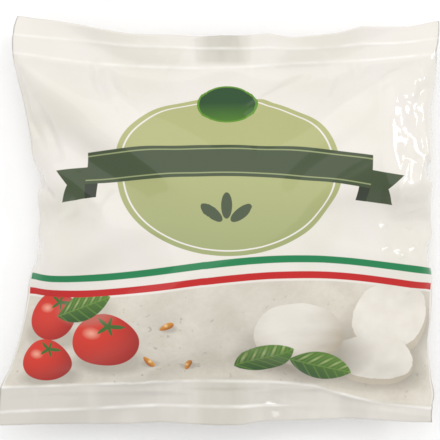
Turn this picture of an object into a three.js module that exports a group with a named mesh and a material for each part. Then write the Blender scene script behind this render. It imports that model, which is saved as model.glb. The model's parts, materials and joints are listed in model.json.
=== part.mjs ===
// A sealed pillow pouch of soft white cheese in brine, lying on its back with the printed face up.
// The film is a flat tube, welded across both ends and along the back. It can bend but hardly
// stretch, so the filling draws the sides in, arches the end seals and leaves folds where film
// is spare. The folds are worked out here by letting the flat tube settle round its filling.
// Millimetres. +X runs across the pouch, +Y towards the top seal and +Z out of the printed face.
// The origin is on the table, below the middle of the pouch's box.
import * as THREE from "three";

// The film tube as it is cut, lying flat and empty
const FILM_WIDTH = 145;
const FILM_LENGTH = 142.5;
const SEAL_DEPTH = 13;
const SEAL_THICKNESS = 0.8;

// The strip of the back seam, folded flat against the back
const FIN_LEFT = -8;
const FIN_RIGHT = 7;
const FIN_THICKNESS = 0.6;
const FIN_EDGE = 0.3;

// The filling: one soft cheese, flattened by its own weight, with brine and a little air round it
const FILL_VOLUME = 315e3;
const BALL_RADII = [40, 38, 18.5];
const BALL_MIDDLE = [0, -2, 18.5];

// How far the filling has run sideways and down between the seals, and how the whole leans
const RUN_SIDEWAYS = 5;
const RUN_DOWN = 3;
const TOP_LEAN = 3;
const TOP_NARROWING = 0.015;

// The grid of film points that settles, and how it is settled
const COLUMNS = 48;
const ROWS = 47;
const STEPS = 420;
const SWEEPS = 8;
const DAMPING = 0.94;
const FIRST_HEIGHT = 7;
const FIRST_MIDDLE = 12;
const FIRST_GROWTH = 0.12;
const GROWING_STEPS = 200;
const GRIP = 0.05;
const CREASE_SEED = 7;
const CREASE_SIZE = 0.2;
const SHEAR_HOLD = 0.35;
const BEND_HOLD = 0.2;
const SEAL_BEND_HOLD = 0.35;
const SEAL_BEND_REACH = 6;
const DEPTH_PUSH = 3e-5;
const BRINE_TOP = 60;
const MOST_PUSH = 0.02;
const FLAT_REST = 0.02;

const RING = 2 * COLUMNS;
const POINTS = RING * (ROWS + 1);

const pointAt = (ring, row) => row * RING + ((ring + RING) % RING);
const acrossOf = (ring) => {
  const column = ring <= COLUMNS ? ring : RING - ring;
  return FILM_WIDTH * (column / COLUMNS - 0.5);
};
const alongOf = (row) => FILM_LENGTH * (row / ROWS - 0.5);
const isSealed = (row) => Math.abs(alongOf(row)) >= FILM_LENGTH / 2 - SEAL_DEPTH;

// The fin lifts the film above it, and a little to each side, off the table
const STEP_ACROSS = FILM_WIDTH / COLUMNS;
const isLifted = (ring) => ring > COLUMNS
  && acrossOf(ring) > FIN_LEFT - STEP_ACROSS && acrossOf(ring) < FIN_RIGHT + STEP_ACROSS;

// Seeded random numbers from 0 to 1
function makeRandom(seed) {
  let state = seed;
  return () => {
    state = (state * 1664525 + 1013904223) % 4294967296;
    return state / 4294967296;
  };
}

// The flat tube, opened into a low lens with small seeded creases
function layFilm() {
  const random = makeRandom(CREASE_SEED);
  const place = new Float64Array(3 * POINTS);
  for (let row = 0; row <= ROWS; row++) {
    for (let ring = 0; ring < RING; ring++) {
      const across = acrossOf(ring);
      const along = alongOf(row);
      const open = isSealed(row) ? 0 : Math.cos((Math.PI * across) / FILM_WIDTH)
        * Math.cos((Math.PI * along) / (FILM_LENGTH - 2 * SEAL_DEPTH));
      const face = ring > COLUMNS ? -1 : 1;
      const k = 3 * pointAt(ring, row);
      place[k] = across;
      place[k + 1] = along;
      place[k + 2] = FIRST_MIDDLE + face * FIRST_HEIGHT * open + CREASE_SIZE * (random() - 0.5);
    }
  }
  return place;
}

// Links that hold two film points at their distance on the flat film. A one-way link only
// pushes apart, which is how the film resists a sharp fold.
function tieFilm() {
  const links = [];
  const stepAlong = FILM_LENGTH / ROWS;
  const tie = (a, b, rest, hold, oneWay = false) => links.push({ a, b, rest, hold, oneWay });
  for (let row = 0; row <= ROWS; row++) {
    const bend = isSealed(row) ? SEAL_BEND_HOLD : BEND_HOLD;
    for (let ring = 0; ring < RING; ring++) {
      const here = pointAt(ring, row);
      tie(here, pointAt(ring + 1, row), STEP_ACROSS, 1);
      const foldsHere = ring + 1 === COLUMNS || ring + 1 === RING;
      if (!foldsHere) {
        tie(here, pointAt(ring + 2, row), 2 * STEP_ACROSS, bend, true);
      }
      if (isSealed(row) && ring + SEAL_BEND_REACH <= COLUMNS) {
        tie(here, pointAt(ring + SEAL_BEND_REACH, row), SEAL_BEND_REACH * STEP_ACROSS, bend, true);
      }
      if (row < ROWS) {
        tie(here, pointAt(ring, row + 1), stepAlong, 1);
        const diagonal = Math.hypot(STEP_ACROSS, stepAlong);
        tie(here, pointAt(ring + 1, row + 1), diagonal, SHEAR_HOLD);
        tie(pointAt(ring + 1, row), pointAt(ring, row + 1), diagonal, SHEAR_HOLD);
      }
      if (row + 2 <= ROWS) {
        tie(here, pointAt(ring, row + 2), 2 * stepAlong, bend, true);
      }
    }
  }
  return links;
}

function holdLinks(place, links, backwards) {
  for (let n = 0; n < links.length; n++) {
    const { a, b, rest, hold, oneWay } = links[backwards ? links.length - 1 - n : n];
    const dx = place[3 * b] - place[3 * a];
    const dy = place[3 * b + 1] - place[3 * a + 1];
    const dz = place[3 * b + 2] - place[3 * a + 2];
    const distance = Math.sqrt(dx * dx + dy * dy + dz * dz);
    if (oneWay && distance >= rest) {
      continue;
    }
    const share = (0.5 * hold * (distance - rest)) / distance;
    place[3 * a] += share * dx;
    place[3 * a + 1] += share * dy;
    place[3 * a + 2] += share * dz;
    place[3 * b] -= share * dx;
    place[3 * b + 1] -= share * dy;
    place[3 * b + 2] -= share * dz;
  }
}

// The volume inside the tube, and for each point how the volume grows as the point moves
function measureVolume(place, growth) {
  growth.fill(0);
  let volume = 0;
  const addTriangle = (a, b, c) => {
    const [ax, ay, az] = [place[3 * a], place[3 * a + 1], place[3 * a + 2]];
    const [bx, by, bz] = [place[3 * b], place[3 * b + 1], place[3 * b + 2]];
    const [cx, cy, cz] = [place[3 * c], place[3 * c + 1], place[3 * c + 2]];
    const bcx = (by * cz - bz * cy) / 6;
    const bcy = (bz * cx - bx * cz) / 6;
    const bcz = (bx * cy - by * cx) / 6;
    volume += ax * bcx + ay * bcy + az * bcz;
    growth[3 * a] += bcx;
    growth[3 * a + 1] += bcy;
    growth[3 * a + 2] += bcz;
    growth[3 * b] += (cy * az - cz * ay) / 6;
    growth[3 * b + 1] += (cz * ax - cx * az) / 6;
    growth[3 * b + 2] += (cx * ay - cy * ax) / 6;
    growth[3 * c] += (ay * bz - az * by) / 6;
    growth[3 * c + 1] += (az * bx - ax * bz) / 6;
    growth[3 * c + 2] += (ax * by - ay * bx) / 6;
  };
  for (let row = 0; row < ROWS; row++) {
    for (let ring = 0; ring < RING; ring++) {
      const a = pointAt(ring, row);
      const b = pointAt(ring + 1, row);
      const c = pointAt(ring + 1, row + 1);
      const d = pointAt(ring, row + 1);
      addTriangle(a, b, c);
      addTriangle(a, c, d);
    }
  }
  return volume;
}

// Moves the film in or out, evenly, until it holds the filling
function holdVolume(place, growth, target) {
  const volume = measureVolume(place, growth);
  let size = 0;
  for (const g of growth) {
    size += g * g;
  }
  const share = (target - volume) / size;
  const held = Math.max(-MOST_PUSH, Math.min(MOST_PUSH, share));
  for (let k = 0; k < place.length; k++) {
    place[k] += held * growth[k];
  }
}

// The film stays outside the ball and above the table, where it grips a little
function holdContacts(place, start, grown) {
  const [rx, ry, rz] = BALL_RADII.map((radius) => radius * grown);
  const [mx, my] = BALL_MIDDLE;
  const mz = FIRST_MIDDLE + (BALL_MIDDLE[2] - FIRST_MIDDLE) * grown;
  for (let p = 0; p < POINTS; p++) {
    const x = 3 * p;
    const fx = (place[x] - mx) / rx;
    const fy = (place[x + 1] - my) / ry;
    const fz = (place[x + 2] - mz) / rz;
    const reach = Math.sqrt(fx * fx + fy * fy + fz * fz);
    if (reach < 1) {
      place[x] = mx + (fx / reach) * rx;
      place[x + 1] = my + (fy / reach) * ry;
      place[x + 2] = mz + (fz / reach) * rz;
    }
    const table = isLifted(p % RING) ? FIN_THICKNESS : 0;
    if (place[x + 2] < table) {
      place[x + 2] = table;
      place[x] += GRIP * (start[x] - place[x]);
      place[x + 1] += GRIP * (start[x + 1] - place[x + 1]);
    }
  }
}

function holdFaces(place) {
  for (let row = 0; row <= ROWS; row++) {
    for (let ring = 1; ring < COLUMNS; ring++) {
      const front = 3 * pointAt(ring, row);
      const back = 3 * pointAt(RING - ring, row);
      if (isSealed(row)) {
        for (let k = 0; k < 3; k++) {
          const middle = (place[front + k] + place[back + k]) / 2;
          place[front + k] = middle;
          place[back + k] = middle;
        }
      } else if (place[front + 2] < place[back + 2]) {
        const middle = (place[front + 2] + place[back + 2]) / 2;
        place[front + 2] = middle;
        place[back + 2] = middle;
      }
    }
  }
}

// Lets the film settle round the filling under its depth of brine
function settleFilm() {
  const place = layFilm();
  const links = tieFilm();
  const growth = new Float64Array(place.length);
  let before = place.slice();
  for (let step = 0; step < STEPS; step++) {
    const start = place.slice();
    const grown = Math.min(1, FIRST_GROWTH + step / GROWING_STEPS);
    measureVolume(place, growth);
    for (let p = 0; p < POINTS; p++) {
      const depth = BRINE_TOP - place[3 * p + 2];
      for (let k = 0; k < 3; k++) {
        const n = 3 * p + k;
        place[n] += DAMPING * (place[n] - before[n]) + DEPTH_PUSH * depth * growth[n];
      }
    }
    for (let sweep = 0; sweep < SWEEPS; sweep++) {
      holdLinks(place, links, sweep % 2 === 1);
      holdVolume(place, growth, FILL_VOLUME * grown);
      holdFaces(place);
      holdContacts(place, start, grown);
    }
    before = start;
  }
  return place;
}

// The filling runs towards one side and down, and the top seal leans over and narrows with it
function leanFilling(place) {
  for (let p = 0; p < POINTS; p++) {
    const across = (2 * place[3 * p]) / FILM_WIDTH;
    const up = 0.5 + place[3 * p + 1] / FILM_LENGTH;
    place[3 * p] *= 1 - TOP_NARROWING * up;
    place[3 * p] += TOP_LEAN * up + RUN_SIDEWAYS * 4 * up * (1 - up);
    place[3 * p + 1] -= RUN_DOWN * (1 - across * across);
  }
}

// The way out of the film at each point, found from the four points round it. In a seal the two
// sides of a fold point opposite ways, so there the way out is away from the points beside it.
function findWaysOut(place) {
  const out = new Float64Array(place.length);
  const along = new THREE.Vector3();
  const round = new THREE.Vector3();
  const at = (ring, row) => new THREE.Vector3().fromArray(place, 3 * pointAt(ring, row));
  for (let row = 0; row <= ROWS; row++) {
    for (let ring = 0; ring < RING; ring++) {
      if (ring % COLUMNS === 0) {
        const beside = at(ring + 1, row).add(at(ring - 1, row)).multiplyScalar(0.5);
        round.subVectors(at(ring, row), beside);
      } else {
        along.subVectors(at(ring, Math.min(ROWS, row + 1)), at(ring, Math.max(0, row - 1)));
        round.subVectors(at(ring + 1, row), at(ring - 1, row)).cross(along);
      }
      round.normalize().toArray(out, 3 * pointAt(ring, row));
    }
  }
  return out;
}

// The stations round the tube where the finished skin has points: every column of the film, and
// two close together at each edge of the fin, where the skin of the back steps out round it. They
// run over the front from the left fold to the right one, and return over the back.
function listStations() {
  const places = [];
  for (let column = 0; column <= COLUMNS; column++) {
    places.push({ column, fin: acrossOf(column) > FIN_LEFT && acrossOf(column) < FIN_RIGHT });
  }
  const columnOf = (across) => COLUMNS * (across / FILM_WIDTH + 0.5);
  places.push({ column: columnOf(FIN_LEFT - FIN_EDGE), fin: false });
  places.push({ column: columnOf(FIN_LEFT), fin: true });
  places.push({ column: columnOf(FIN_RIGHT), fin: true });
  places.push({ column: columnOf(FIN_RIGHT + FIN_EDGE), fin: false });
  places.sort((one, other) => one.column - other.column);
  const front = places.map(({ column }) => ({ ring: column, fin: false }));
  const back = places.slice(1, -1).reverse().map(({ column, fin }) => ({ ring: RING - column, fin }));
  return [...front, ...back];
}

// The outer skin of the tube with its seals, fin and two cut ends, as one closed surface
function wrapSkin(place, out) {
  const stations = listStations();
  const count = stations.length;
  const points = [];
  const first = new THREE.Vector3();
  const second = new THREE.Vector3();
  for (let row = 0; row <= ROWS; row++) {
    for (const { ring, fin } of stations) {
      const a = 3 * pointAt(Math.floor(ring), row);
      const b = 3 * pointAt(Math.ceil(ring), row);
      const share = ring - Math.floor(ring);
      const point = first.fromArray(place, a).lerp(second.fromArray(place, b), share).clone();
      const wayOut = first.fromArray(out, a).lerp(second.fromArray(out, b), share).normalize();
      points.push(point.addScaledVector(wayOut, SEAL_THICKNESS / 2 + (fin ? FIN_THICKNESS : 0)));
    }
  }
  const triangles = [];
  const addQuad = (a, b, c, d) => {
    if (points[a].distanceToSquared(points[c]) < points[b].distanceToSquared(points[d])) {
      triangles.push(a, b, c, a, c, d);
    } else {
      triangles.push(a, b, d, b, c, d);
    }
  };
  for (let row = 0; row < ROWS; row++) {
    for (let n = 0; n < count; n++) {
      const next = (n + 1) % count;
      addQuad(row * count + n, row * count + next, (row + 1) * count + next, (row + 1) * count + n);
    }
  }
  // A cut end is a thin strip from fold to fold, between each point in front and the one behind it
  const lastRow = ROWS * count;
  const half = count / 2;
  triangles.push(0, count - 1, 1);
  triangles.push(half, half - 1, half + 1);
  triangles.push(lastRow, lastRow + 1, lastRow + count - 1);
  triangles.push(lastRow + half, lastRow + half + 1, lastRow + half - 1);
  for (let n = 1; n < half - 1; n++) {
    addQuad(n, count - n, count - n - 1, n + 1);
    addQuad(lastRow + n, lastRow + n + 1, lastRow + count - n - 1, lastRow + count - n);
  }
  return { points, triangles };
}

// Sets the skin on the table, with its middle over the origin
function makePouchGeometry() {
  const place = settleFilm();
  leanFilling(place);
  const { points, triangles } = wrapSkin(place, findWaysOut(place));
  const box = new THREE.Box3().setFromPoints(points);
  const middle = box.getCenter(new THREE.Vector3());
  const positions = [];
  for (const point of points) {
    const height = point.z - box.min.z;
    positions.push(point.x - middle.x, point.y - middle.y, height < FLAT_REST ? 0 : height);
  }
  const geometry = new THREE.BufferGeometry();
  geometry.setAttribute("position", new THREE.Float32BufferAttribute(positions, 3));
  geometry.setIndex(triangles);
  geometry.computeVertexNormals();
  return geometry;
}

const printedFilm = new THREE.MeshStandardMaterial({ color: 0xe9e6dd, roughness: 0.32, metalness: 0 });
const pouch = new THREE.Mesh(makePouchGeometry(), printedFilm);
pouch.name = "pouch";

const part = new THREE.Group();
part.add(pouch);
export default part;
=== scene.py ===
"""A sealed, printed pillow pouch of soft white cheese, lying on a pale floor with its face up."""

import json
import math
from random import Random

import bpy
import numpy as np
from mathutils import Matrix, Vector

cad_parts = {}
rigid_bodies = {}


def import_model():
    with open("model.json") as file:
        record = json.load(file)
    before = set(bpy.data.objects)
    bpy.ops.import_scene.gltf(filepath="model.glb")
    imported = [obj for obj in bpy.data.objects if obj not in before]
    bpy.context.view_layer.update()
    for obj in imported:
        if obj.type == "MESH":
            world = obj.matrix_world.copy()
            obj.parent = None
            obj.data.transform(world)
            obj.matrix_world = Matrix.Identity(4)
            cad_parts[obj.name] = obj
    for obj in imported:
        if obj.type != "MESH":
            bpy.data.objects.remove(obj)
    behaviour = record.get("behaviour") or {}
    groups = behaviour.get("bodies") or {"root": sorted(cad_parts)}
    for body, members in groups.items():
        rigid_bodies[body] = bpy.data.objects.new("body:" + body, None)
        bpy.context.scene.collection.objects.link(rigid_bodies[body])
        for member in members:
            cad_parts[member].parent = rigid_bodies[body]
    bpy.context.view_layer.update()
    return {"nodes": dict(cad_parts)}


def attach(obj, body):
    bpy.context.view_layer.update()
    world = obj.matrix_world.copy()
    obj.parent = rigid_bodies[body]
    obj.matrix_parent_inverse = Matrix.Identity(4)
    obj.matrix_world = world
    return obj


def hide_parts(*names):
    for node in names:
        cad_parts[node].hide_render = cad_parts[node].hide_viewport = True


MM = 0.001

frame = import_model()

# The view: straight down on the face, with the top seal at the top of the picture
FRAME_WIDTH = 148 * MM
OUTLINE_HEIGHT = 12 * MM
LENS = 120
SENSOR = 36
FRAME_SHIFT = (-0.001, 0)

# The softboxes, with their place, size and watts, the sky and the floor
OVERHEAD = ((-0.16, 0.34, 0.94), (1.4, 1.4), 4.4)
RIGHT_STRIP = ((0.54, 0.26, 0.54), (0.14, 0.19), 0.74)
SKY_STRENGTH = 0.785
FLOOR_SIZE = 4
FLOOR_TONE = (0.97, 0.97, 0.97, 1)
FLOOR_ROUGHNESS = 0.6

# The film as it is cut and printed, in millimetres
FILM_WIDTH = 145
FILM_LENGTH = 142.5
SEAL_DEPTH = 13
SKIN_THINNED = 0.22
SAME_PLACE = 0.001
FOLD_CREASE = 0.7
ISLAND_MARGIN = 0.01
SMOOTH_LEVELS = 2
LEAST_PUSH = 0.002

# Folds of the film on the front: height, reach to each side, and the points they run through
FOLDS = [
    (0.9, 7, [(-68.5, 54.7), (-56.7, 45.2), (-46.6, 39.2), (-33.1, 37.5)]),
    (-0.8, 2, [(-66.8, 50.3), (-64.1, 36.8), (-58.4, 23.4)]),
    (-0.8, 2, [(-61.1, 41.2), (-56.7, 30.1), (-52.6, 20)]),
    (-0.95, 2.8, [(-42.2, 53.7), (-40.5, 45.2), (-37.2, 39.5)]),
    (0.8, 2.8, [(-37.8, 51), (-35.8, 42.9), (-26.4, 34.1)]),
    (-0.3, 2.5, [(-18, 49.6), (-17.3, 41.5)]),
    (0.9, 2.6, [(30.1, 48.6), (17.3, 41.2), (7.2, 35.2)]),
    (0.45, 2, [(66.1, 52), (57.7, 48.6), (40.9, 38.5), (34.1, 33.5)]),
    (-0.3, 1.8, [(38.5, 48.6), (34.8, 40.2)]),
    (0.3, 2, [(44.9, 53), (44.9, 47.6)]),
    (-1.2, 1.3, [(-58.8, 16), (-57.6, 11), (-54.6, 6.6)]),
    (0.6, 2.5, [(-46.5, 8), (-48, 3.4), (-53.8, -0.6)]),
    (-0.6, 3, [(-46, 7), (-43, 4), (-39, 2)]),
    (0.5, 2.2, [(-42, 0.5), (-37.5, 4.5), (-34, 9.5)]),
    (0.4, 1.3, [(68.1, 53.7), (68.1, 43.6)]),
    (0.5, 1.3, [(67.1, 30), (67.1, 10)]),
    (0.4, 1.2, [(58.4, 13.3), (58.4, 4.9)]),
    (0.4, 1.2, [(60.4, 2.5), (67.8, 5.2)]),
    (0.6, 1.5, [(-73, -58.4), (-53.3, -57.2), (10.6, -57), (34, -56)]),
    (0.8, 1.8, [(26, -56.4), (34, -56), (39, -57.9), (44, -59.3), (51, -60.4), (57, -61), (72, -61.4)]),
]

# The lines that the sealing jaws leave, from the cut ends. The lower one at the top sags: where it
# sags most, over what reach, and by how much. The one at the foot pales to the right of its end
WELD_LINES = (7, 12.6)
WELD_SAG = (-26, 50, 1.8)
FOOT_LINE = 3.4
FOOT_LINE_END = 20
WELD_LINE_WIDTH = 1.2
WELD_LINE_HEIGHT = 0.16
# Half width and soft edge of the lighter paint on the weld lines. It is partly film whitened by the jaws
# and partly a painted highlight along the weld ridges and along the fold at the edge of the foot's print
WELD_AND_HIGHLIGHT_HALF = 0.35
WELD_AND_HIGHLIGHT_SOFTNESS = 0.9

# The unprinted strips: the depth of the top one, and for the one at the foot its depth at the
# right, what is added to it at the left, and the places across the film between which it narrows
TOP_STRIP = 12
FOOT_STRIP = (6.4, 5)
FOOT_TURN = (33, 63)

# The back seam, where it is seen through the end seals: its middle, half its width and its depth
SEAM_PATCH = (0.5, 7.5, 12.4)

# Flat facets of crushed film, in film millimetres: middle and half sizes of the zone, fade at its
# edge, lean of the creases from upright, least and most width of a facet, and height
CRUMPLES = [
    ((65.5, 27), (9, 23), 3, (-14, 28, 75), (4, 8), 0.3),
    ((66, 18), (6, 17), 4, (6, -30, 60), (2.5, 6), 0.14),
    ((64, -28), (7, 28), 5, (0, 35, -50), (5, 11), 0.14),
    ((-63, 8), (6, 34), 5, (8, -25, 50), (5, 11), 0.22),
    ((63, 42), (8, 13), 4, (-12, 24, 66), (3, 7), 0.24),
]
CRUMPLE_SHARE = (0.4, 1)
CRUMPLE_SEED = 5

# A flatter field beside the upper right fold, where the film is crushed: its middle and half sizes
# on the pouch, how it fades, its height in the middle, how it falls across and along, and the
# most that it lifts the film
SHOULDER_MIDDLE = (63, 25)
SHOULDER_HALF = (10, 25)
SHOULDER_FADE = (5, 8)
SHOULDER_HEIGHT = 23.2
SHOULDER_FALL = (0.36, 0.14)
SHOULDER_MOST = 5

# Small knobs in the film: place and reach
KNOBS = [
    ((58, -1), 1.8), ((66.5, -3.5), 2), ((57, -9), 1.7), ((66, -9.5), 1.9), ((61.5, -12), 1.4),
    ((62.5, -15.5), 1.5), ((65.5, -24), 1.6), ((66.5, -42), 1.6), ((67, -52), 1.4),
]
KNOB_HEIGHT = 0.55

# Zones of small creases: middle, half sizes, how many, most height, most length and reach to each side
PUCKER_ZONES = [
    ((64, 26), (6, 20), 12, 0.35, 12, 1.8),
    ((-61, 12), (5, 22), 10, 0.35, 18, 2.2),
    ((0, 53), (60, 3), 14, 0.3, 14, 2),
    ((0, -54), (62, 2), 12, 0.3, 10, 2),
]
PUCKER_LEAN = 20
PUCKER_SHARE = (0.4, 1)
PUCKER_BEND = 0.2
PUCKER_WIDTH = (0.7, 1.2)
PUCKER_SEED = 12

# How far the outline stands out or in at the cut ends, by the place across the film, and at the
# side folds, by the place along it
TOP_EDGE = [
    (-72, 0.6), (-56, 0.7), (-48, 0.2), (-40, -0.6), (-32, -1.5), (-16, -1.1), (-8, -1.5), (0, -0.7),
    (8, -0.9), (16, -0.3), (24, -2.4), (32, -2), (40, -1.6), (48, -0.1), (56, -1.2), (64, -2), (72, -1.1),
]
BOTTOM_EDGE = [
    (-72, -0.5), (-60, -0.1), (-48, -0.5), (-40, -0.8), (-32, -0.7), (-20, 0), (-8, -0.8), (0, -1.3),
    (8, -1.2), (16, 0.3), (32, 0.7), (44, 1.2), (56, 0.9), (72, 0.5),
]
LEFT_EDGE = [
    (-71, -0.8), (-60, -1.4), (-54, 0), (-35, 0), (-28, -0.5), (-21, -1.5), (-17, -2.9), (-12.5, -5),
    (-8, -2.4), (0, -0.2), (7, -1.9), (14, -4.2), (21, -1.9), (28, -0.6), (42, -1.2), (49, -1.4),
    (56, -0.7), (63, -0.5), (67, 0.3), (71, 1.9),
]
RIGHT_EDGE = [
    (-71, 1.6), (-66, 0.5), (-60, 0.3), (-55, -1.2), (-42, -1), (-35, 0.3), (-28, 0.9), (-21, 1.6),
    (-14, 3.7), (-7, 2.8), (0, 1.6), (7, 1.1), (14, 4), (21, 2.8), (28, 1.2), (34, 0.3), (41, -0.7),
    (49, -0.2), (56, -1), (60, -0.9), (63, 0.2), (67, 1.2), (71, 1.9),
]
END_EASE = 1.5
SIDE_REACH = 24
SIDE_EASE = 2

# The print. The stripes and the edge of the stone follow one wave across the film: how long and
# how high it is, where it starts, and its middle along the film
WAVE_LENGTH = 165
WAVE_HEIGHT = 4.5
WAVE_START = 0.7
WAVE_MIDDLE = -16
STONE_BELOW = 7.5
GREEN_BELOW = 0.4
RED_BELOW = 5.6
STRIPE_HALF = 1.15

# The oval field and the badge, with their middle and radii, the ribbon, with its middle, size and
# tails, and the petals under it
FIELD = ((2, 17), (37.5, 28))
FIELD_LINE_INSIDE = 2.2
FIELD_LINE_HALF = 0.3
RIBBON = ((2, 20), (96, 11), 14)
RIBBON_ARCH = 2.5
RIBBON_LINE_INSIDE = 1.3
RIBBON_LINE_HALF = 0.2
PETALS_FROM = (2, -1)
PETAL_LEANS = (90, 38, 142)
PETAL_OUT = 6
PETAL_HALF = 4.2
PETAL_SLIM = 2.4
BADGE = ((2, 42), (10, 7.5))
BADGE_RIM = 0.8

# The film's finish: the sizes of its cream patches, seal streaks, grain and patches of gloss, in
# millimetres as its relief is, and its gloss
CREAM_SIZE = 22
STREAK_SIZE = 9
GRAIN_SIZE = 2.5
GRAIN_SHARE = 0.1
RELIEF = 0.1
GLOSS_SIZE = 6
LEAST_ROUGHNESS = 0.28
MORE_ROUGHNESS = 0.08
SPECULAR_LEVEL = 0.15
COAT = 0.8
COAT_ROUGHNESS = 0.07


# The studio


def add_camera():
    data = bpy.data.cameras.new("view")
    data.lens = LENS
    data.sensor_width = SENSOR
    data.shift_x, data.shift_y = FRAME_SHIFT
    camera = bpy.data.objects.new("view", data)
    camera.location = (0, 0, OUTLINE_HEIGHT + FRAME_WIDTH * LENS / SENSOR)
    bpy.context.scene.collection.objects.link(camera)
    bpy.context.scene.camera = camera


def add_softbox(name, place, size, watts):
    """A rectangle of light that faces the pouch."""
    data = bpy.data.lights.new(name, "AREA")
    data.shape = "RECTANGLE"
    data.size, data.size_y = size
    data.energy = watts
    light = bpy.data.objects.new(name, data)
    light.location = place
    light.rotation_euler = (-Vector(place)).to_track_quat("-Z", "Y").to_euler()
    bpy.context.scene.collection.objects.link(light)


def light_studio():
    add_softbox("overhead", *OVERHEAD)
    add_softbox("right_strip", *RIGHT_STRIP)
    world = bpy.data.worlds.new("studio")
    world.use_nodes = True
    background = world.node_tree.nodes["Background"]
    background.inputs["Color"].default_value = (1, 1, 1, 1)
    background.inputs["Strength"].default_value = SKY_STRENGTH
    bpy.context.scene.world = world
    bpy.context.scene.view_settings.view_transform = "Standard"


# Shader maths


class Value:
    """A number that changes over a surface. Sums written with it add Math nodes."""

    def __init__(self, finish, socket):
        self.finish = finish
        self.socket = socket

    def maths(self, operation, *others, clamp=False):
        inputs = dict(enumerate((self, *others)))
        return self.finish.node("ShaderNodeMath", {"operation": operation, "use_clamp": clamp}, inputs)

    def split(self):
        """The three numbers of a vector."""
        node = self.finish.node("ShaderNodeSeparateXYZ", {}, {0: self}).socket.node
        return [Value(self.finish, socket) for socket in node.outputs]

    def __add__(self, other):
        return self.maths("ADD", other)

    def __sub__(self, other):
        return self.maths("SUBTRACT", other)

    def __rsub__(self, other):
        return self.finish.node("ShaderNodeMath", {"operation": "SUBTRACT"}, {0: other, 1: self})

    def __mul__(self, other):
        return self.maths("MULTIPLY", other)

    def __truediv__(self, other):
        return self.maths("DIVIDE", other)

    __radd__ = __add__
    __rmul__ = __mul__

    def size(self):
        return self.maths("ABSOLUTE")

    def wave(self):
        return self.maths("SINE")

    def least(self, other):
        return self.maths("MINIMUM", other)

    def most(self, other):
        return self.maths("MAXIMUM", other)

    def clamped(self):
        return self.maths("ADD", 0, clamp=True)

    def inside(self, softness=0.2):
        """1 where this distance is below 0, and 0 where it is above, over a soft edge."""
        return self.maths("MULTIPLY_ADD", -1 / softness, 0.5, clamp=True)


class Finish:
    """A material with a Principled shader, and the means to add nodes to it."""

    def __init__(self, name):
        self.material = bpy.data.materials.new(name)
        self.material.use_nodes = True
        self.tree = self.material.node_tree
        self.shader = self.tree.nodes["Principled BSDF"]

    def node(self, kind, settings, inputs, output=0):
        node = self.tree.nodes.new(kind)
        for name, value in settings.items():
            setattr(node, name, value)
        for key, value in inputs.items():
            self.feed(node.inputs[key], value)
        return Value(self, node.outputs[output])

    def feed(self, socket, value):
        if isinstance(value, Value):
            self.tree.links.new(value.socket, socket)
        else:
            socket.default_value = value

    def set(self, **values):
        """Sets the shader's sockets, named with underscores for spaces."""
        for name, value in values.items():
            self.feed(self.shader.inputs[name.replace("_", " ")], value)

    def mix(self, base, over, share):
        inputs = {0: share, 6: base, 7: over}
        return self.node("ShaderNodeMix", {"data_type": "RGBA"}, inputs, output=2)

    def noise(self, place, size, detail=2, roughness=0.5):
        inputs = {"Vector": place, "Scale": 1 / size, "Detail": detail, "Roughness": roughness}
        return self.node("ShaderNodeTexNoise", {}, inputs)

    def stretched(self, place, shares):
        return self.node("ShaderNodeVectorMath", {"operation": "MULTIPLY"}, {0: place, 1: shares})


def length(right, up):
    return (right * right + up * up).maths("SQRT")


def colour(red, green, blue):
    """A colour as a screen shows it, from 0 to 255, as the shader needs it."""

    def linear(level):
        share = level / 255
        return share / 12.92 if share <= 0.04045 else ((share + 0.055) / 1.055) ** 2.4

    return (linear(red), linear(green), linear(blue), 1)


WHITE_FILM = colour(231, 226, 220)
CREAM_FILM = colour(225, 221, 210)
# Lighter paint for the weld lines and the fold at the foot's print edge: partly whitened film, partly
# painted highlight
WELD_WHITE_AND_HIGHLIGHT = colour(246, 244, 239)
SEAL_GREY = colour(193, 189, 177)
END_SEAL = colour(203, 199, 191)
PALE_GREEN = colour(174, 177, 120)
SAGE_GREEN = colour(147, 157, 104)
DARK_OLIVE = colour(59, 74, 44)
OLIVE_FOLD = colour(34, 46, 26)
OLIVE_LINE = colour(150, 160, 112)
BADGE_GREEN = colour(24, 69, 27)
BADGE_LIGHT = colour(88, 140, 26)
STRIPE_GREEN = colour(5, 124, 72)
STRIPE_RED = colour(190, 12, 10)
STONE = colour(220, 214, 202)
STONE_DARK = colour(199, 192, 178)
STONE_SPECK = colour(152, 144, 130)
TOMATO = colour(208, 50, 32)
TOMATO_DEEP = colour(150, 22, 16)
TOMATO_GLOW = colour(240, 176, 152)
CALYX = colour(60, 100, 34)
CHEESE = colour(230, 225, 215)
CHEESE_SHADE = colour(180, 169, 150)
CHEESE_RIM = colour(194, 184, 167)
LEAF_DEEP = colour(40, 82, 26)
LEAF_LIGHT = colour(104, 142, 52)
LEAF_SHINE = colour(188, 204, 132)
AMBER = colour(216, 146, 56)
AMBER_DEEP = colour(150, 78, 22)
AMBER_GLOW = colour(240, 206, 140)


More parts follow.
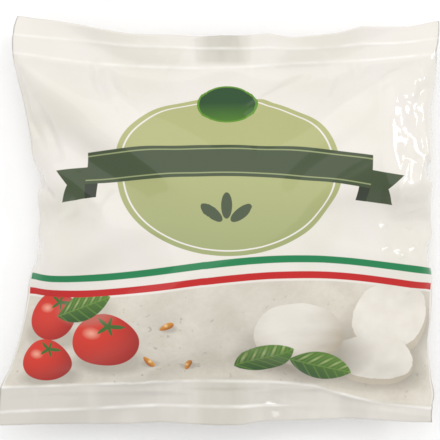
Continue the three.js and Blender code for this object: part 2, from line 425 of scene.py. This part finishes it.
class Print:
    """Lays plain printed shapes over one another on the flat film, in millimetres from its middle."""

    def __init__(self, finish, place, ground):
        self.finish = finish
        self.place = place
        self.across, self.along = place.split()[:2]
        self.paint = ground

    def lay(self, tone, mask):
        self.paint = self.finish.mix(self.paint, tone, mask)

    def from_point(self, point, degrees=0):
        """The ways right and up from a point, turned by an angle."""
        right = self.across - point[0]
        up = self.along - point[1]
        if degrees == 0:
            return right, up
        cosine = math.cos(math.radians(degrees))
        sine = math.sin(math.radians(degrees))
        return right * cosine + up * sine, up * cosine - right * sine

    def oval(self, middle, radii):
        """How far a point is outside an oval, nearly."""
        right, up = self.from_point(middle)
        return length(right, up * (radii[0] / radii[1])) - radii[0]

    def stone(self, edge):
        """Pale stone with blotches and dark specks, below an edge."""
        blotch = self.finish.noise(self.place, 16, detail=4)
        grain = self.finish.noise(self.place, 1.6, detail=3, roughness=0.7)
        speck = self.finish.noise(self.place, 2.3, detail=1)
        tone = self.finish.mix(STONE, STONE_DARK, (blotch * 2 + grain * 0.8 - 0.9).clamped())
        tone = self.finish.mix(tone, STONE_SPECK, ((speck - 0.7) * 12).clamped() * 0.5)
        self.lay(tone, edge.inside(0.3))

    def shadow(self, middle, radii, share):
        self.lay(STONE_SPECK, self.oval(middle, radii).inside(radii[1]) * share)

    def leaf(self, middle, size, width, degrees):
        """A pointed leaf between two arcs, with a midrib, side veins and shine between them."""
        self.shadow((middle[0] + 0.8, middle[1] - 1.2), (size * 0.5, width * 0.5), 0.35)
        right, up = self.from_point(middle, degrees)
        arc_radius = (size * size / 4 + width * width / 4) / width
        outline = length(right, up.size() + (arc_radius - width / 2)) - arc_radius
        lit = (up / width + right / (2 * size) + 0.45).clamped()
        veins = ((right - up.size() * 0.9) * (12 * math.pi / size)).wave()
        rib = (up.size() - 0.16).inside(0.25).most((veins * 3 - 2).clamped() * 0.5)
        upper_half = (0.8 - (up - width * 0.2).size() * (3 / width)).clamped()
        shine = (veins * -1.6 - 0.4).clamped() * upper_half
        tone = self.finish.mix(LEAF_DEEP, LEAF_LIGHT, lit * 0.7)
        tone = self.finish.mix(tone, LEAF_SHINE, shine * 0.7)
        self.lay(self.finish.mix(tone, LEAF_LIGHT, rib), outline.inside(0.25))

    def tomato(self, middle, radius):
        """A round tomato lit from above left, with a small green star on top."""
        self.shadow((middle[0] + 1, middle[1] - radius * 0.75), (radius * 1.1, radius * 0.5), 0.5)
        right, up = self.from_point(middle)
        outline = length(right, up * 1.08) - radius
        shade = (length(right + radius * 0.35, up - radius * 0.35) / (radius * 1.5)).clamped()
        tone = self.finish.mix(TOMATO, TOMATO_DEEP, shade * shade)
        from_glow = length(right + radius * 0.42, (up - radius * 0.3) * 1.5)
        glow = (from_glow - radius * 0.16).inside(radius * 0.3)
        self.lay(self.finish.mix(tone, TOMATO_GLOW, glow * 0.8), outline.inside(0.25))
        right, up = self.from_point((middle[0] + radius * 0.1, middle[1] + radius * 0.55))
        points = (up.maths("ARCTAN2", right) * 2.5).wave().size()
        self.lay(CALYX, (length(right, up * 1.6) - radius * (0.52 - 0.4 * points)).inside(0.25))

    def cheese(self, middle, radius):
        """A soft ball that isn't quite round, lit from above left."""
        self.shadow((middle[0] + 2, middle[1] - radius * 0.45), (radius * 1.2, radius * 0.8), 0.75)
        right, up = self.from_point(middle)
        lump = self.finish.noise(self.place, radius * 1.3, detail=1) * radius * 0.3
        outline = length(right, up * 1.14) + lump - radius * 1.12
        shade = (length(right + radius * 0.3, up - radius * 0.45) / (radius * 1.5)).clamped()
        strands = self.finish.stretched(self.place, (1, 2.5, 1))
        uneven = self.finish.noise(strands, 9, detail=4) * 0.5
        tone = self.finish.mix(CHEESE, CHEESE_SHADE, (shade * shade * 1.3 + uneven - 0.32).clamped())
        self.lay(tone, outline.inside(0.3))

    def cheese_slice(self, middle, radii, degrees):
        """A thick slice seen at a slant: a pale face over a darker rim."""
        self.shadow((middle[0] + 1.5, middle[1] - radii[1] * 0.45), (radii[0] * 1.12, radii[1]), 0.7)
        for drop, tone in ((radii[1] * 0.24, CHEESE_RIM), (0, CHEESE)):
            right, up = self.from_point((middle[0], middle[1] - drop), degrees)
            lump = self.finish.noise(self.place, radii[0], detail=1) * 2
            frayed = self.finish.noise(self.place, 2, detail=2) * 0.8
            outline = length(right, up * (radii[0] / radii[1])) + lump + frayed - radii[0] - 1.4
            uneven = (self.finish.noise(self.place, 5, detail=4) * 0.9 - 0.2).clamped()
            self.lay(self.finish.mix(tone, CHEESE_SHADE, uneven * 0.5), outline.inside(0.3))

    def kernel(self, middle, degrees):
        """A small toasted kernel, rounder at one end."""
        self.shadow((middle[0] + 0.5, middle[1] - 0.7), (2.8, 1.6), 0.5)
        right, up = self.from_point(middle, degrees)
        outline = length(right, up * (2.3 - right * 0.2)) - 2.6
        tone = self.finish.mix(AMBER, AMBER_DEEP, (0.35 - up * 0.5).clamped())
        glow = (length(right, up - 0.5) - 0.5).inside(0.8)
        self.lay(self.finish.mix(tone, AMBER_GLOW, glow), outline.inside(0.3))

    def stripe(self, tone, from_middle):
        self.lay(tone, (from_middle.size() - STRIPE_HALF).inside())

    def ribbon(self, middle, size, tail):
        """A plain ribbon with a thin line along both edges, and notched tails folded behind it."""
        right, up = self.from_point(middle)
        half = (size[0] / 2, size[1] / 2)
        arched = up + right * right * (RIBBON_ARCH / half[0] ** 2)
        lower = (arched + tail * 0.35).size()
        behind = half[0] - tail * 0.3 - right.size()
        notch = right.size() - (half[0] + tail * 0.75) + (half[1] - lower) * 0.7
        self.lay(DARK_OLIVE, notch.most(lower - half[1]).most(behind).inside())
        fold = (right.size() - half[0]).most(behind)
        self.lay(OLIVE_FOLD, fold.most(lower - half[1]).inside())
        bar = (arched.size() - half[1]).most(right.size() - half[0])
        self.lay(DARK_OLIVE, bar.inside())
        from_line = (arched.size() - half[1] + RIBBON_LINE_INSIDE).size() - RIBBON_LINE_HALF
        self.lay(OLIVE_LINE, from_line.most(right.size() - half[0]).inside())

    def petal(self, degrees):
        """A slim oval that leans outwards from the foot of the petals."""
        out = (PETAL_OUT * math.cos(math.radians(degrees)), PETAL_OUT * math.sin(math.radians(degrees)))
        right, up = self.from_point((PETALS_FROM[0] + out[0], PETALS_FROM[1] + out[1]), degrees)
        self.lay(DARK_OLIVE, (length(right, up * PETAL_SLIM) - PETAL_HALF).inside())


def print_front(finish, place, film_tone):
    """The printed side: an oval and a ribbon over two waving stripes, and food on pale stone."""
    design = Print(finish, place, film_tone)
    wave = (design.across * (2 * math.pi / WAVE_LENGTH) + WAVE_START).wave()
    below = design.along - (wave * WAVE_HEIGHT + WAVE_MIDDLE)
    design.stone(below + STONE_BELOW)
    design.cheese_slice((58, -32), (15, 11), 12)
    design.cheese_slice((51, -47), (14, 9), -8)
    design.cheese((26, -39), 15)
    design.leaf((15, -49), 22, 12, 28)
    design.leaf((34, -51), 22, 11, -16)
    design.tomato((-57, -34), 9)
    design.tomato((-37, -42), 11)
    design.tomato((-57, -50), 8.5)
    design.leaf((-46, -30), 21, 10, 22)
    design.kernel((-17, -36), 30)
    design.kernel((-23, -50), -50)
    design.kernel((-10, -53), 75)
    field = design.oval(*FIELD)
    darker = ((20 - design.along) / 50 + 0.1).clamped()
    design.lay(finish.mix(PALE_GREEN, SAGE_GREEN, darker), field.inside())
    design.lay(WHITE_FILM, ((field + FIELD_LINE_INSIDE).size() - FIELD_LINE_HALF).inside())
    design.stripe(STRIPE_GREEN, below + GREEN_BELOW)
    design.stripe(STRIPE_RED, below + RED_BELOW)
    design.ribbon(*RIBBON)
    for degrees in PETAL_LEANS:
        design.petal(degrees)
    badge = design.oval(*BADGE)
    lighter = ((41 - design.along) / 9 + 0.2).clamped()
    design.lay(BADGE_LIGHT, badge.inside())
    design.lay(finish.mix(BADGE_GREEN, BADGE_LIGHT, lighter * 0.7), (badge + BADGE_RIM).inside())
    return design.paint


def film_finish():
    """White film with its print, and bare seals with streaks, weld lines partly painted as highlight, and
    the back seam's patch.
    """
    finish = Finish("printed_film")
    place = finish.node("ShaderNodeAttribute", {"attribute_name": "film_place"}, {}, output=1)
    across, along, side = place.split()
    cream = (finish.noise(place, CREAM_SIZE) * 2.4 - 0.7).clamped()
    film_tone = finish.mix(WHITE_FILM, CREAM_FILM, cream)
    on_front = side.maths("GREATER_THAN", 0.3)
    at_foot = along.maths("LESS_THAN", 0)
    from_end = FILM_LENGTH / 2 - along.size()
    turned = ((FOOT_TURN[1] - across) * (1 / (FOOT_TURN[1] - FOOT_TURN[0]))).clamped()
    foot_depth = turned * turned * FOOT_STRIP[1] + FOOT_STRIP[0]
    from_strip = from_end - foot_depth * at_foot - (1 - at_foot) * TOP_STRIP
    printed = (from_strip * -1).inside(0.3) * on_front
    paint = finish.mix(film_tone, print_front(finish, place, film_tone), printed)

    streaks = finish.noise(finish.stretched(place, (1, 0.35, 1)), STREAK_SIZE, detail=3)
    foot_strip = from_strip.inside(0.5) * at_foot
    paint = finish.mix(paint, END_SEAL, foot_strip * (streaks * 1.1 + 0.25 - across * 0.005).clamped())
    beside_seam = (across - SEAM_PATCH[0]).size() - SEAM_PATCH[1]
    seam = beside_seam.inside(5) * (from_end - SEAM_PATCH[2]).inside(2)
    paint = finish.mix(paint, SEAL_GREY, seam * (streaks * 1.2 + 0.2).clamped())

    # The weld lines, and the fold where the foot's print ends, are painted lighter: partly film whitened
    # by the sealing jaws, partly a painted highlight on these ridges
    aside = (across - WELD_SAG[0]) * (1 / WELD_SAG[1])
    from_lower = from_end - WELD_LINES[1] - (1 - aside * aside).clamped() * WELD_SAG[2]
    from_upper = from_end - WELD_LINES[0]
    from_top_weld = from_upper.size().least(from_lower.size()) - WELD_AND_HIGHLIGHT_HALF
    from_foot_line = (from_end - FOOT_LINE).size() + (across - FOOT_LINE_END).most(0) * 0.1
    from_foot_weld_and_fold_edge = from_foot_line.least(from_strip.size()) - WELD_AND_HIGHLIGHT_HALF
    top_weld_and_highlight = from_top_weld.inside(WELD_AND_HIGHLIGHT_SOFTNESS) * (1 - at_foot)
    foot_weld_and_highlight = from_foot_weld_and_fold_edge.inside(WELD_AND_HIGHLIGHT_SOFTNESS) * at_foot
    weld_and_highlight = (top_weld_and_highlight + foot_weld_and_highlight) * (streaks * 1.8 - 0.35).clamped()
    paint = finish.mix(paint, WELD_WHITE_AND_HIGHLIGHT, weld_and_highlight)

    height = weld_and_highlight + finish.noise(place, GRAIN_SIZE, detail=3) * GRAIN_SHARE
    bump = finish.node("ShaderNodeBump", {}, {"Height": height, "Strength": 1, "Distance": RELIEF * MM})
    finish.set(
        Base_Color=paint,
        Roughness=LEAST_ROUGHNESS + finish.noise(place, GLOSS_SIZE) * MORE_ROUGHNESS,
        Specular_IOR_Level=SPECULAR_LEVEL,
        Coat_Weight=COAT,
        Coat_Roughness=COAT_ROUGHNESS,
        Normal=bump,
    )
    return finish.material


# The film


def select_only(piece):
    bpy.ops.object.select_all(action="DESELECT")
    piece.select_set(True)
    bpy.context.view_layer.objects.active = piece


def edit(piece, kind, chosen):
    """Goes into edit mode with only the chosen vertices, edges or faces selected."""
    select_only(piece)
    bpy.ops.object.mode_set(mode="EDIT")
    bpy.ops.mesh.select_mode(type=kind)
    bpy.ops.mesh.select_all(action="DESELECT")
    bpy.ops.object.mode_set(mode="OBJECT")
    parts = {"VERT": piece.data.vertices, "EDGE": piece.data.edges, "FACE": piece.data.polygons}
    parts[kind].foreach_set("select", np.asarray(chosen, bool))
    bpy.ops.object.mode_set(mode="EDIT")


def vertex_places(piece):
    """The places of all vertices, in millimetres."""
    places = np.empty(3 * len(piece.data.vertices), np.float32)
    piece.data.vertices.foreach_get("co", places)
    return places.reshape(-1, 3) / MM


def film_places(piece):
    """Where each vertex is on the flat film: across, along, and its side."""
    places = np.empty(3 * len(piece.data.vertices), np.float32)
    piece.data.attributes["film_place"].data.foreach_get("vector", places)
    return places.reshape(-1, 3)


def copy_skin():
    """The pouch's skin as a mesh of four-sided faces, a little thinner at its seals."""
    piece = bpy.data.objects.new("film_pouch", frame["nodes"]["pouch"].data.copy())
    piece.data.name = "film_pouch"
    piece.data.materials.clear()
    bpy.context.scene.collection.objects.link(piece)
    edit(piece, "VERT", [True] * len(piece.data.vertices))
    bpy.ops.mesh.remove_doubles(threshold=SAME_PLACE * MM)
    bpy.ops.mesh.tris_convert_to_quads(
        face_threshold=math.pi, shape_threshold=math.pi, topology_influence=1
    )
    bpy.ops.transform.shrink_fatten(value=-SKIN_THINNED * MM)
    bpy.ops.object.mode_set(mode="OBJECT")
    return piece


def lay_film_out(piece):
    """Cuts the skin into its panels, along the side folds and round the ends, and lays them flat.

    The folds end where only three edges meet. Each vertex keeps its place on the flat film."""
    mesh = piece.data
    edges_at = [0] * len(mesh.vertices)
    for edge in mesh.edges:
        for vertex in edge.vertices:
            edges_at[vertex] += 1
    corners = [vertex for vertex, count in enumerate(edges_at) if count == 3]
    edit(piece, "EDGE", [bool(set(corners) & set(edge.vertices)) for edge in mesh.edges])
    bpy.ops.mesh.loop_multi_select(ring=False)
    bpy.ops.mesh.mark_seam(clear=False)
    bpy.ops.transform.edge_crease(value=FOLD_CREASE)
    bpy.ops.mesh.select_all(action="SELECT")
    bpy.ops.uv.unwrap(method="MINIMUM_STRETCH", margin=ISLAND_MARGIN)
    bpy.ops.object.mode_set(mode="OBJECT")
    places = np.zeros((len(mesh.vertices), 3), np.float32)
    for side in (1, -1):
        found = panel_points(piece, side)
        ends = {c: place_of_corner(mesh.vertices[c].co, side) for c in corners}
        scale, start = fit_flat([found[c] for c in corners], [ends[c] for c in corners])
        for vertex, point in found.items():
            flat = scale * point + start
            places[vertex, :2] = flat.real * side, flat.imag
            places[vertex, 2] += side
    attribute = mesh.attributes.new("film_place", "FLOAT_VECTOR", "POINT")
    attribute.data.foreach_set("vector", places.ravel())


def place_of_corner(corner, side):
    """A corner's place on its own panel, as seen from outside the pouch."""
    across = math.copysign(FILM_WIDTH / 2, corner.x)
    return complex(across * side, math.copysign(FILM_LENGTH / 2, corner.y))


def panel_points(piece, side):
    """The unwrapped points of the front panel, or of the back one where side is -1.

    The panel is found from its face nearest the middle."""
    mesh = piece.data
    nearness = [side * polygon.normal.z - 10 * polygon.center.xy.length for polygon in mesh.polygons]
    start = nearness.index(max(nearness))
    edit(piece, "FACE", [polygon.index == start for polygon in mesh.polygons])
    bpy.ops.mesh.select_linked(delimit={"SEAM"})
    bpy.ops.object.mode_set(mode="OBJECT")
    flat = mesh.uv_layers.active.data
    found = {}
    for polygon in mesh.polygons:
        if polygon.select:
            for loop in polygon.loop_indices:
                found[mesh.loops[loop].vertex_index] = complex(*flat[loop].uv)
    return found


def fit_flat(points, targets):
    """The turn and scale, and the shift, that bring points nearest to their targets."""
    middle = sum(points) / len(points)
    target_middle = sum(targets) / len(targets)
    pairs = [(point - middle, target - target_middle) for point, target in zip(points, targets)]
    scale = sum(p.conjugate() * t for p, t in pairs) / sum(abs(p) ** 2 for p, t in pairs)
    return scale, target_middle - scale * middle


def apply_modifier(piece, kind, **settings):
    modifier = piece.modifiers.new(kind.lower(), kind)
    for name, value in settings.items():
        setattr(modifier, name, value)
    select_only(piece)
    bpy.ops.object.modifier_apply(modifier=modifier.name)


def push(piece, heights, direction="NORMAL"):
    """Moves each vertex by its own height, in millimetres."""
    for sign in (1, -1):
        share = np.clip(sign * heights, 0, None)
        most = float(share.max())
        if most < LEAST_PUSH:
            continue
        group = piece.vertex_groups.new(name="pushed")
        for vertex in np.flatnonzero(share > LEAST_PUSH):
            group.add([int(vertex)], float(share[vertex]) / most, "REPLACE")
        apply_modifier(
            piece, "DISPLACE", strength=sign * most * MM, mid_level=0,
            direction=direction, vertex_group=group.name,
        )
        piece.vertex_groups.clear()


def rounded(share):
    """A share between 0 and 1, with a soft start and end."""
    return share * share * (3 - 2 * share)


def fold_share(places, points, reach, sharp=False):
    """1 on a line through the points, falling to 0 at the reach beside it and at its ends."""
    steps = [np.subtract(end, start) for start, end in zip(points, points[1:])]
    nearest = np.full(len(places), np.inf)
    travelled = np.zeros(len(places))
    before = 0
    for start, step in zip(points, steps):
        stride = float(np.hypot(*step))
        share = np.clip((places[:, :2] - start) @ step / stride ** 2, 0, 1)
        distance = np.hypot(*(places[:, :2] - start - share[:, None] * step).T)
        closer = distance < nearest
        nearest = np.where(closer, distance, nearest)
        travelled = np.where(closer, before + share * stride, travelled)
        before += stride
    across = np.clip(1 - nearest / reach, 0, 1)
    ending = np.clip(4 * travelled * (before - travelled) / before ** 2, 0, 1) ** 0.5
    return (across if sharp else rounded(across)) * ending


def raise_shoulder(piece):
    """Lifts the front beside the upper right fold to a flat field, and the fold with it."""
    places = vertex_places(piece)
    beside = places[:, :2] - SHOULDER_MIDDLE
    inside = np.subtract(SHOULDER_HALF, np.abs(beside))
    zone = np.clip(inside / SHOULDER_FADE, 0, 1).prod(axis=1)
    lift = np.clip(SHOULDER_HEIGHT - beside @ SHOULDER_FALL - places[:, 2], 0, SHOULDER_MOST)
    push(piece, lift * zone * np.clip(film_places(piece)[:, 2] + 1, 0, 1), direction="Z")


def crease_film(piece):
    """The ridges and hollows of the front, and the weld lines, which show on both sides."""
    places = vertex_places(piece)
    across, along, side = film_places(piece).T
    heights = np.zeros(len(places))
    for height, reach, points in FOLDS:
        heights += height * fold_share(places, points, reach)
    from_end = FILM_LENGTH / 2 - np.abs(along)
    sealed = np.clip((SEAL_DEPTH + 1 - from_end) / 2, 0, 1)
    sag = WELD_SAG[2] * np.clip(1 - ((across - WELD_SAG[0]) / WELD_SAG[1]) ** 2, 0, 1)
    for line, end in ((WELD_LINES[0], 1), (WELD_LINES[1] + sag, 1), (FOOT_LINE, -1)):
        distance = np.abs(from_end - line) / WELD_LINE_WIDTH
        heights += WELD_LINE_HEIGHT * np.clip(1 - distance, 0, 1) * (along * end > 0)
    facing = np.where(side > 0, np.clip(side * 2, 0, 1), -sealed)
    push(piece, heights * facing)


def crumple(piece):
    """Flat facets between straight, sharp creases, and small knobs, where the film is crushed."""
    places = film_places(piece)
    random = Random(CRUMPLE_SEED)
    heights = np.zeros(len(places))
    for middle, half, fade, leans, widths, height in CRUMPLES:
        inside = half - np.abs(places[:, :2] - middle)
        zone = np.clip(inside / fade, 0, 1).prod(axis=1)
        for lean in leans:
            lean = math.radians(lean)
            along = (places[:, :2] - middle) @ (math.cos(lean), math.sin(lean))
            reach = math.hypot(*half)
            knots = [-reach]
            while knots[-1] < reach:
                knots.append(knots[-1] + random.uniform(*widths))
            levels = [height * random.uniform(*CRUMPLE_SHARE) * (-1) ** i for i in range(len(knots))]
            heights += zone * np.interp(along, knots, levels)
    for middle, reach in KNOBS:
        distance = np.hypot(*(places[:, :2] - middle).T)
        heights += KNOB_HEIGHT * rounded(np.clip(1 - distance / reach, 0, 1))
    push(piece, heights * np.clip(places[:, 2] * 2, 0, 1))


def pucker_film(piece):
    """Small sharp folds, where spare film gathers beside the side folds and the end seals."""
    places = vertex_places(piece)
    side = film_places(piece)[:, 2]
    random = Random(PUCKER_SEED)
    heights = np.zeros(len(places))
    for middle, half, count, height, longest, reach in PUCKER_ZONES:
        for _ in range(count):
            turn = random.uniform(0, 2 * math.pi)
            out = math.sqrt(random.random())
            start = np.add(middle, (half[0] * out * math.cos(turn), half[1] * out * math.sin(turn)))
            lean = math.radians(90 + random.gauss(0, PUCKER_LEAN))
            half_length = random.uniform(*PUCKER_SHARE) * longest / 2
            step = half_length * np.array((math.cos(lean), math.sin(lean)))
            bend = random.uniform(-PUCKER_BEND, PUCKER_BEND) * np.array((-step[1], step[0]))
            size = random.choice((1, -1)) * random.uniform(*PUCKER_SHARE) * height
            points = [start - step, start + bend, start + step]
            width = reach * random.uniform(*PUCKER_WIDTH)
            heights += size * fold_share(places, points, width, sharp=True)
    push(piece, heights * (side > 0.2))


def trim_outline(piece):
    """Brings the cut ends and the side folds to their outline."""
    across, along, _ = film_places(piece).T
    top, bottom = np.interp(across, *zip(*TOP_EDGE)), np.interp(across, *zip(*BOTTOM_EDGE))
    near_end = np.clip(1 - (FILM_LENGTH / 2 - np.abs(along)) / SEAL_DEPTH, 0, 1) ** END_EASE
    push(piece, np.where(along > 0, top, bottom) * near_end, direction="Y")
    right, left = np.interp(along, *zip(*RIGHT_EDGE)), np.interp(along, *zip(*LEFT_EDGE))
    near_side = np.clip(1 - (FILM_WIDTH / 2 - np.abs(across)) / SIDE_REACH, 0, 1) ** SIDE_EASE
    push(piece, np.where(across > 0, right, left) * near_side, direction="X")


def finish_shape(piece):
    apply_modifier(piece, "SUBSURF", levels=SMOOTH_LEVELS, render_levels=SMOOTH_LEVELS)
    raise_shoulder(piece)
    crease_film(piece)
    crumple(piece)
    pucker_film(piece)
    trim_outline(piece)
    lowest = vertex_places(piece)[:, 2].min()
    push(piece, np.full(len(piece.data.vertices), -lowest), direction="Z")
    select_only(piece)
    bpy.ops.object.shade_smooth()


# The scene


def add_floor():
    bpy.ops.object.select_all(action="DESELECT")
    bpy.ops.mesh.primitive_plane_add(size=FLOOR_SIZE)
    floor = bpy.context.object
    floor.name = "floor"
    finish = Finish("pale_floor")
    finish.set(Base_Color=FLOOR_TONE, Roughness=FLOOR_ROUGHNESS)
    floor.data.materials.append(finish.material)


add_camera()
light_studio()
film = copy_skin()
lay_film_out(film)
finish_shape(film)
film.data.materials.append(film_finish())
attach(film, "root")
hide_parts("pouch")
add_floor()
